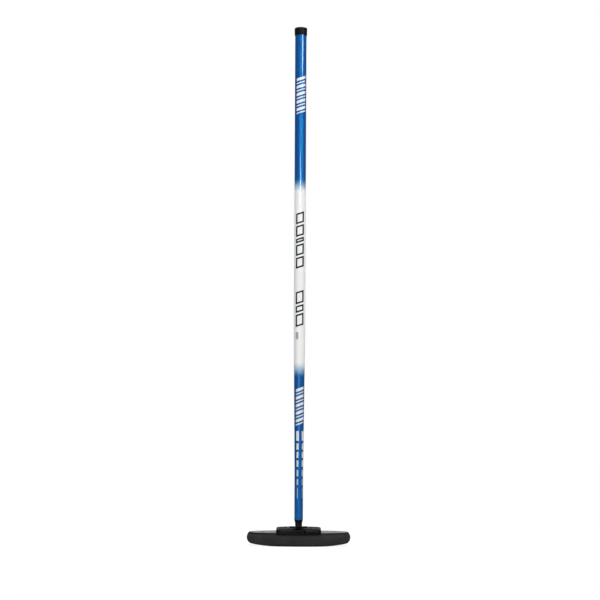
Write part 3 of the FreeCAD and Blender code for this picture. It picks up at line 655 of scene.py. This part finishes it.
def oval_point(turn, inset):
    """A point on the pad's outline, moved in by inset. Turn is the way the outline faces."""
    x_side = 1 if cos(turn) >= 0 else -1
    y_side = 1 if sin(turn) >= 0 else -1
    if abs(sin(turn)) < sin(TURN):
        return (
            x_side * END_CENTRE + (END_RADIUS - inset) * cos(turn),
            (END_RADIUS - inset) * sin(turn),
        )
    return (
        (SIDE_RADIUS - inset) * cos(turn),
        -y_side * SIDE_CENTRE + (SIDE_RADIUS - inset) * sin(turn),
    )


def reach_to_middle(turn):
    """How far in a point of the outline can move before it meets the opposite side's."""
    if abs(sin(turn)) > sin(TURN):
        return SIDE_RADIUS - SIDE_CENTRE / abs(sin(turn))
    return END_RADIUS


def oval_columns(count):
    """Turns evenly spaced along the outline from the middle of the back, each with its
    distance from the middle of its own long side."""
    side_run = SIDE_RADIUS * (pi / 2 - TURN)
    quarter = side_run + END_RADIUS * TURN
    per_quarter = count // 4
    columns = []
    for number in range(4 * per_quarter):
        sector, step = divmod(number, per_quarter)
        run = quarter * step / per_quarter
        if sector % 2:
            run = quarter - run
        if run <= side_run:
            turn = pi / 2 - run / SIDE_RADIUS
        else:
            turn = TURN - (run - side_run) / END_RADIUS
        turn = (turn, -turn, pi + turn, pi - turn)[sector]
        columns.append((turn, run if sector in (0, 1) else -run))
    return columns


def sole_height(x):
    """The sole's profile along the pad: flat, then a rocker, then the curve of the toe.
    Gives its height and the slope's sine."""
    x = abs(x)
    if x <= SOLE_HALF_LENGTH:
        return 0.0, 0.0
    if x <= TOE_START:
        run = x - SOLE_HALF_LENGTH
        return ROCKER_RADIUS - sqrt(ROCKER_RADIUS**2 - run**2), run / ROCKER_RADIUS
    run = min(x - TOE_CENTRE, TOE_RADIUS)
    return TOE_HEIGHT - sqrt(TOE_RADIUS**2 - run**2), run / TOE_RADIUS


WALL_ROWS, ROUND_ROWS, SOLE_ROWS = 20, 9, 16
WALL_ROW = 5  # a row on the wall, well clear of its ends
LEAN_FOOT = 15 * MM  # the cover's wall is upright below this height


def upper_inset(height):
    """How far the cover has drawn in at a height: upright, then more and more up to the tape."""
    share = max(0, (height - LEAN_FOOT) / (COVER_TOP - LEAN_FOOT))
    return COVER_SLOPE_RUN * share**3


def pad_column(turn):
    """One strip of the cover, from its upper edge down the wall and in under the sole."""
    edge_x, _ = oval_point(turn, 0)
    edge_height, slope = sole_height(edge_x)
    facing = abs(cos(turn)) * slope
    corner = hypot(SOLE_ROUND * sqrt(max(0, 1 - facing) / (1 + facing)), 0.8 * MM)
    wall_foot = edge_height + corner
    strip = []
    for row in range(WALL_ROWS):
        height = COVER_TOP + (wall_foot - COVER_TOP) * row / WALL_ROWS
        strip.append((upper_inset(height), height))
    for row in range(ROUND_ROWS):
        bend = pi / 2 * row / ROUND_ROWS
        inset = corner * (1 - cos(bend)) + upper_inset(wall_foot) * (1 - row / ROUND_ROWS)
        x, _ = oval_point(turn, inset)
        strip.append((inset, sole_height(x)[0] + corner * (1 - sin(bend))))
    reach = reach_to_middle(turn)
    for row in range(SOLE_ROWS + 1):
        inset = corner + (reach - corner) * (row / SOLE_ROWS) ** 1.8
        x, _ = oval_point(turn, inset)
        strip.append((inset, sole_height(x)[0]))
    return [(*oval_point(turn, inset), height) for inset, height in strip]


COLUMNS = oval_columns(400)
STRIPS = [[Vector(point) for point in pad_column(turn)] for turn, _ in COLUMNS]
LAST = len(STRIPS[0]) - 1


def strip_normals(strips):
    """The outward direction at every point of the cover."""
    count = len(strips)
    normals = []
    for number, strip in enumerate(strips):
        before, after = strips[number - 1], strips[(number + 1) % count]
        column = []
        for row, point in enumerate(strip):
            down = strip[min(row + 1, LAST)] - strip[max(row - 1, 0)]
            round_ = after[row] - before[row]
            normal = down.cross(round_)
            if normal.length < 1e-12 or row > LAST - 2:
                normal = Vector((0, 0, -1))
            column.append(normal.normalized())
        normals.append(column)
    outward = 1 if normals[0][WALL_ROW].y > 0 else -1
    for column in normals:
        for row in range(LAST - 1):
            column[row] *= outward
    return normals


def grid_faces(count, rows, start=0):
    """Faces of a closed band of strips."""
    faces = []
    for number in range(count):
        after = (number + 1) % count
        for row in range(rows - 1):
            a, b = start + number * rows + row, start + after * rows + row
            faces.append([a, b, b + 1, a + 1])
    return faces


NORMALS = strip_normals(STRIPS)
CLOTH_STEPS = 20


def inflate(strips):
    """A short cloth simulation: the cover, held at its tape and at the edge of its sole, is
    pressed out by the foam. Gives the points as the cloth leaves them."""
    rows = WALL_ROWS + ROUND_ROWS + 4
    points = [point for strip in strips for point in strip[:rows]]
    mesh = bpy.data.meshes.new("cloth_work")
    mesh.from_pydata(points, [], grid_faces(len(strips), rows))
    work = bpy.data.objects.new("cloth_work", mesh)
    bpy.context.scene.collection.objects.link(work)
    held = work.vertex_groups.new(name="held")
    for number in range(len(points)):
        row = number % rows
        if row < 2 or row > WALL_ROWS + ROUND_ROWS:
            held.add([number], 1.0, "REPLACE")
    cloth = work.modifiers.new("cloth", "CLOTH")
    settings = cloth.settings
    settings.quality = 8
    settings.mass = 0.001
    settings.use_pressure = True
    settings.uniform_pressure_force = 10
    settings.vertex_group_mass = "held"
    settings.tension_stiffness = settings.compression_stiffness = 5
    settings.shear_stiffness = 2.5
    settings.bending_stiffness = 0.05
    settings.effector_weights.gravity = 0
    cloth.collision_settings.use_collision = False
    scene = bpy.context.scene
    for step in range(1, CLOTH_STEPS + 1):
        scene.frame_set(step)
    swollen = work.evaluated_get(bpy.context.evaluated_depsgraph_get())
    moved = [vertex.co.copy() for vertex in swollen.to_mesh().vertices]
    swollen.to_mesh_clear()
    scene.frame_set(1)
    bpy.data.objects.remove(work)
    bpy.data.meshes.remove(mesh)
    return [
        moved[number * rows:(number + 1) * rows] + strip[rows:]
        for number, strip in enumerate(strips)
    ]


SWELL, SINK = 0.6 * MM, 0.3 * MM  # the most that the cloth may move out and in
SLACK = 0.25 * MM  # how far inside the CAD cover the cloth lies before it swells
PLEAT = 0.3 * MM


def shape_cover(strips, normals):
    """The cover's outside: the swollen cloth, with small gathers where it is pulled round the
    ends and the soft unevenness of hand-stretched fabric."""
    blown = inflate(strips)
    shaped = []
    for number, (turn, run) in enumerate(COLUMNS):
        at_end = min(1, max(0, (abs(cos(turn)) - 0.2) / 0.5))
        column = []
        for row, point in enumerate(strips[number]):
            normal = normals[number][row]
            swell = (blown[number][row] - point).dot(normal)
            swell = min(SWELL, max(-SINK, swell))
            fade = max(0, 1 - row / (WALL_ROWS + ROUND_ROWS))
            wave = noise.noise(Vector((run * 260, point.z * 45, 3.7)))
            ridge = noise.noise(Vector((run * 700, point.z * 60 + run * 90, 9.1)))
            pleats = PLEAT * at_end * (wave + 0.6 * ridge) * fade * min(1, row / 2)
            drift = 0.15 * MM * noise.noise(Vector((point.x * 32, point.z * 60, point.y * 32)))
            push = swell - SLACK + pleats + drift * fade * min(1, row / 3)
            if row > WALL_ROWS + ROUND_ROWS or row == 0:
                push = 0
            elif row > WALL_ROWS:
                push *= 1 - (row - WALL_ROWS) / (ROUND_ROWS + 1)
            column.append(point + normal * push)
        shaped.append(column)
    return shaped


def add_weave(piece, coordinates):
    """Writes the weave map, one (across, along) in metres for each point of each face."""
    layer = piece.data.uv_layers.new(name="weave")
    for face in piece.data.polygons:
        for corner in face.loop_indices:
            layer.data[corner].uv = coordinates(face, piece.data.loops[corner].vertex_index)


SOLE_FACING = 0.72  # a face that looks further down than this is laid out with the sole


def make_cover():
    """The woven cover: an outer and an inner layer, closed along the upper edge."""
    rows = LAST + 1
    outside = shape_cover(STRIPS, NORMALS)
    normals = strip_normals(outside)
    count = len(outside)
    inside = [
        [point - normals[k][row] * COVER_THICKNESS for row, point in enumerate(strip)]
        for k, strip in enumerate(outside)
    ]
    points = [point for strip in outside for point in strip]
    points += [point for strip in inside for point in strip]
    total = count * rows
    faces = grid_faces(count, rows)
    faces += [face[::-1] for face in grid_faces(count, rows, total)]
    for number in range(count):
        a, b = number * rows, (number + 1) % count * rows
        faces.append([a, a + total, b + total, b])
    cover = make_piece(
        "woven_cover", points, faces, "head", FABRIC, weld=0.002 * MM
    )

    def lay_cloth(face, vertex):
        """On the sole the weave follows X and Y, and it turns up the wall with the cloth."""
        place = cover.data.vertices[vertex].co
        if abs(face.normal.z) > SOLE_FACING:
            return place.x, place.y
        middle = face.center
        up_the_wall = HALF_WIDTH + place.z * (1 if middle.y > 0 else -1)
        if abs(middle.x) < END_CENTRE:
            return place.x, up_the_wall
        side = 1 if middle.x > 0 else -1
        reach = max(hypot(place.x - side * END_CENTRE, place.y), ON_AXIS)
        bend = asin(max(-1, min(1, place.y / reach)))
        return side * (END_CENTRE + END_RADIUS * (pi / 2 - abs(bend))), up_the_wall

    add_weave(cover, lay_cloth)
    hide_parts("fabric_cover")
    return normals


def make_foam():
    """The foam under the cover: the same form, one layer in, with a flat top."""
    edge_round, edge_inset = 0.4 * MM, 0.5 * MM
    strips = []
    for number, strip in enumerate(STRIPS):
        normals = NORMALS[number]
        column = [point - normals[row] * FOAM_INSET for row, point in enumerate(strip)]
        kept = [point for point in column if point.z < foam_high.z - edge_round]
        first = kept[0]
        spare = len(column) - len(kept)
        top = Vector((first.x, first.y, foam_high.z))
        inward = Vector((-normals[WALL_ROW].x, -normals[WALL_ROW].y, 0)).normalized()
        lead = []
        for k in range(spare):
            bend = pi / 2 * k / max(1, spare - 1)
            inset = inward * edge_inset * (1 - sin(bend))
            lead.append(top + inset - Vector((0, 0, edge_round)) * (1 - cos(bend)))
        strips.append(lead + kept)
    rows = LAST + 1
    points = [point for strip in strips for point in strip]
    faces = grid_faces(len(strips), rows)
    start = len(points)
    rings = 10
    count = len(strips)
    for ring in range(1, rings + 1):
        share = ring / rings
        for number, (turn, _) in enumerate(COLUMNS):
            edge = strips[number][0]
            middle = Vector((*oval_point(turn, reach_to_middle(turn)), edge.z))
            points.append(edge.lerp(middle, share))
    for number in range(count):
        after = (number + 1) % count
        faces.append([number * rows, start + number, start + after, after * rows])
        for ring in range(rings - 1):
            a, b = start + ring * count + number, start + ring * count + after
            faces.append([a, a + count, b + count, b])
    foam = make_piece("foam_pad", points, faces, "head", FOAM, weld=0.002 * MM)
    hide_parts("foam_block")


def make_tape():
    """The binding: a woven tape laid round the plate and folded down over the cover's edge."""
    outer, inner = COVER_SLOPE_RUN, TAPE_INNER
    low, high = tape_low.z, tape_high.z
    edge, proud, sunk = 0.22 * MM, 0.38 * MM, 0.12 * MM
    lap = [COVER_TOP - TAPE_LAP * step / 5 for step in range(6)]
    section = [(inner - edge, low), (inner - 0.06 * MM, low + edge), (inner, (low + high) / 2)]
    section += [(inner - 0.06 * MM, high - edge), (inner - edge, high - 0.04 * MM)]
    section += [(inner + (outer - inner) * share, high) for share in (0.35, 0.6)]
    section += [(outer + edge, high - 0.02 * MM), (outer, high - 0.13 * MM)]
    section += [(outer - 0.25 * MM, high - 0.42 * MM)]
    section += [(upper_inset(height) - proud, height) for height in lap]
    section += [(upper_inset(lap[-1]) - sunk, lap[-1] - 0.14 * MM)]
    section += [(upper_inset(height) + sunk, height) for height in reversed(lap)]
    points, faces = [], []
    columns = oval_columns(480)
    count, rows = len(columns), len(section)
    for turn, run in columns:
        sway = 0.05 * MM * noise.noise(Vector((run * 300, cos(turn), sin(turn))))
        for inset, height in section:
            points.append((*oval_point(turn, inset + sway), height))
    for number in range(count):
        after = (number + 1) % count
        for row in range(rows):
            below = (row + 1) % rows
            faces.append(
                [number * rows + row, after * rows + row, after * rows + below, number * rows + below]
            )
    tape = make_piece("sewn_binding", points, faces, "head", TAPE)
    reach = [0.0]
    for (a, b), (c, d) in zip(section, section[1:]):
        reach.append(reach[-1] + hypot(c - a, d - b))

    def lay_tape(face, vertex):
        number, row = divmod(vertex, rows)
        return columns[number][1], reach[row]

    add_weave(tape, lay_tape)
    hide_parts("edge_binding")


def make_stitches():
    """A row of lockstitches along the middle of the binding."""
    pitch, length, thick = 3.2 * MM, 2.5 * MM, 0.17 * MM
    inset = (COVER_SLOPE_RUN + TAPE_INNER) / 2
    columns = oval_columns(2400)
    line = [Vector((*oval_point(turn, inset), tape_high.z)) for turn, _ in columns]
    line.append(line[0].copy())
    runs = [0.0]
    for a, b in zip(line, line[1:]):
        runs.append(runs[-1] + (b - a).length)
    total = runs[-1]
    number = round(total / pitch)
    points, faces = [], []
    sides, steps = 8, 6
    cursor = 0

    def along(run):
        """The place and the direction at a distance along the line."""
        nonlocal cursor
        run %= total
        if runs[cursor] > run:
            cursor = 0
        while runs[cursor + 1] < run:
            cursor += 1
        here, ahead = line[cursor], line[cursor + 1]
        share = (run - runs[cursor]) / (runs[cursor + 1] - runs[cursor])
        return here.lerp(ahead, share), (ahead - here).normalized()

    for stitch in range(number):
        begin = total * stitch / number
        start = len(points)
        for step in range(steps + 1):
            share = step / steps
            middle, ahead = along(begin + length * share)
            beside = Vector((-ahead.y, ahead.x, 0))
            arch = sin(pi * share)
            radius = thick * (0.35 + 0.65 * min(1, 2.2 * arch))
            rise = -0.22 * MM + 0.26 * MM * min(1, 1.6 * arch)
            for side in range(sides):
                turn = 2 * pi * side / sides
                offset = beside * cos(turn) * radius + Vector((0, 0, 1)) * sin(turn) * radius
                points.append(middle + offset + Vector((0, 0, rise)))
        for step in range(steps):
            for side in range(sides):
                after = (side + 1) % sides
                a, b = start + step * sides, start + (step + 1) * sides
                faces.append([a + side, a + after, b + after, b + side])
        faces.append([start + side for side in range(sides)])
        faces.append([start + steps * sides + side for side in reversed(range(sides))])
    make_piece("binding_stitches", points, faces, "head", THREAD)


make_cover()
make_foam()
make_tape()
make_stitches()

# ---------------------------------------------------------------- stage


def make_floor():
    """A white studio floor. It is lit like any floor near the broom, and further out it is as
    white as the surroundings, so no edge shows. Mirrored, only a fifth of its white is seen."""
    radius, sides, rings = 3.2, 96, 12
    points, faces = [(0, 0, 0)], []
    for ring in range(1, rings + 1):
        for side in range(sides):
            turn = 2 * pi * side / sides
            reach = radius * (ring / rings) ** 1.5
            points.append((reach * cos(turn), reach * sin(turn), 0))
    for side in range(sides):
        after = (side + 1) % sides
        faces.append([0, 1 + side, 1 + after])
        for ring in range(rings - 1):
            a = 1 + ring * sides
            faces.append([a + side, a + sides + side, a + sides + after, a + after])
    mesh = bpy.data.meshes.new("studio_floor")
    mesh.from_pydata(points, [], faces)
    floor = bpy.data.objects.new("studio_floor", mesh)
    floor.location.z = -0.1 * MM
    bpy.context.scene.collection.objects.link(floor)
    paint = Paint("studio_floor", Roughness=0.9, Specular_IOR_Level=0.0)
    grain = paint.noise(30, 4)
    near = paint.blend(grain, (0.155,) * 3, (0.165,) * 3)
    away = paint.node("VectorMath", {"operation": "LENGTH"}, _0=paint.place).outputs["Value"]
    far = paint.spread(away, 0.25, 1.0)
    paint.set(paint.shader, {"Base Color": paint.blend(far, near, (0.02,) * 3)})
    path = paint.node("LightPath").outputs
    mirrored = paint.math("MULTIPLY", path["Is Glossy Ray"], 0.2)
    seen = paint.math("MAXIMUM", path["Is Camera Ray"], mirrored)
    glow = paint.math("MULTIPLY", seen, paint.math("MULTIPLY_ADD", far, 0.12, 0.86))
    paint.set(paint.shader, {"Emission Color": (1, 1, 1, 1), "Emission Strength": glow})
    mesh.materials.append(paint.material)


def make_world():
    """White where the camera looks, and a dim room for everything else."""
    world = bpy.data.worlds.new("studio")
    bpy.context.scene.world = world
    world.use_nodes = True
    tree = world.node_tree
    surround = tree.nodes["Background"]
    surround.inputs["Color"].default_value = (0.9, 0.95, 1, 1)
    surround.inputs["Strength"].default_value = 0.16
    white = tree.nodes.new("ShaderNodeBackground")
    white.inputs["Color"].default_value = (1, 1, 1, 1)
    white.inputs["Strength"].default_value = 1.0
    path = tree.nodes.new("ShaderNodeLightPath")
    mix = tree.nodes.new("ShaderNodeMixShader")
    tree.links.new(path.outputs["Is Camera Ray"], mix.inputs[0])
    tree.links.new(surround.outputs[0], mix.inputs[1])
    tree.links.new(white.outputs[0], mix.inputs[2])
    tree.links.new(mix.outputs[0], tree.nodes["World Output"].inputs[0])


def add_light(name, place, target, size, power, colour=(1, 1, 1), glossy=True, diffuse=True):
    """A soft box aimed at a point."""
    light = bpy.data.lights.new(name, "AREA")
    light.shape = "RECTANGLE"
    light.size, light.size_y = size
    light.energy = power
    light.color = colour
    box = bpy.data.objects.new(name, light)
    box.location = place
    box.rotation_mode = "QUATERNION"
    box.rotation_quaternion = (Vector(place) - Vector(target)).to_track_quat("Z", "Y")
    box.visible_camera = False
    box.visible_glossy = glossy
    box.visible_diffuse = diffuse
    bpy.context.scene.collection.objects.link(box)


def make_lights():
    cool, warm = (0.95, 0.98, 1), (1, 0.97, 0.93)
    add_light("left_fill", (-2.6, -2.1, 1.0), (0, 0, 0.55), (1.8, 2.2), 46, cool, glossy=False)
    add_light("right_fill", (2.5, -2.1, 1.1), (0, 0, 0.55), (1.8, 2.2), 60, warm, glossy=False)
    add_light("front_fill", (0, -3.6, 1.1), (0, 0, 0.6), (1.6, 1.8), 30, glossy=False)
    add_light("overhead", (0, -0.5, 3.1), (0, 0, 0), (2.4, 2.0), 76, glossy=False)
    add_light("back_fill", (0, 2.8, 1.6), (0, 0, 0.5), (2.4, 1.6), 60, glossy=False)
    sky = (0.35, 0.8, 1)
    add_light("glow", (0.1, -3.4, 1.38), (0, 0, 0.9), (2.2, 0.6), 9, sky, diffuse=False)
    add_light("back_glow", (-0.1, 3.4, 1.38), (0, 0, 0.9), (2.2, 0.9), 3, diffuse=False)
    add_light("low_glow", (-0.55, -3.0, 0.3), (0, 0, 0.2), (1.2, 0.6), 8, diffuse=False)
    add_light("high_strip", (1.23, -1.58, 1.54), (0, 0, 1.09), (0.5, 0.19), 11, diffuse=False)
    add_light("middle_strip", (0.26, -2.99, 1.19), (0, 0, 0.81), (0.2, 0.2), 9, diffuse=False)


def make_camera():
    """Below the middle of the broom, looking up at it a little."""
    camera = bpy.data.cameras.new("camera")
    camera.sensor_width = 36
    camera.lens = 91.73
    camera.shift_y = 0.03
    view = bpy.data.objects.new("camera", camera)
    tilt_up, roll = radians(1.99), radians(0.27)
    view.matrix_world = (
        Matrix.Translation((0.001, -3.4, 0.385))
        @ Matrix.Rotation(pi / 2 + tilt_up, 4, "X")
        @ Matrix.Rotation(roll, 4, "Z")
    )
    bpy.context.scene.collection.objects.link(view)
    bpy.context.scene.camera = view


make_floor()
make_world()
make_lights()
make_camera()
bpy.context.scene.view_settings.view_transform = "Standard"
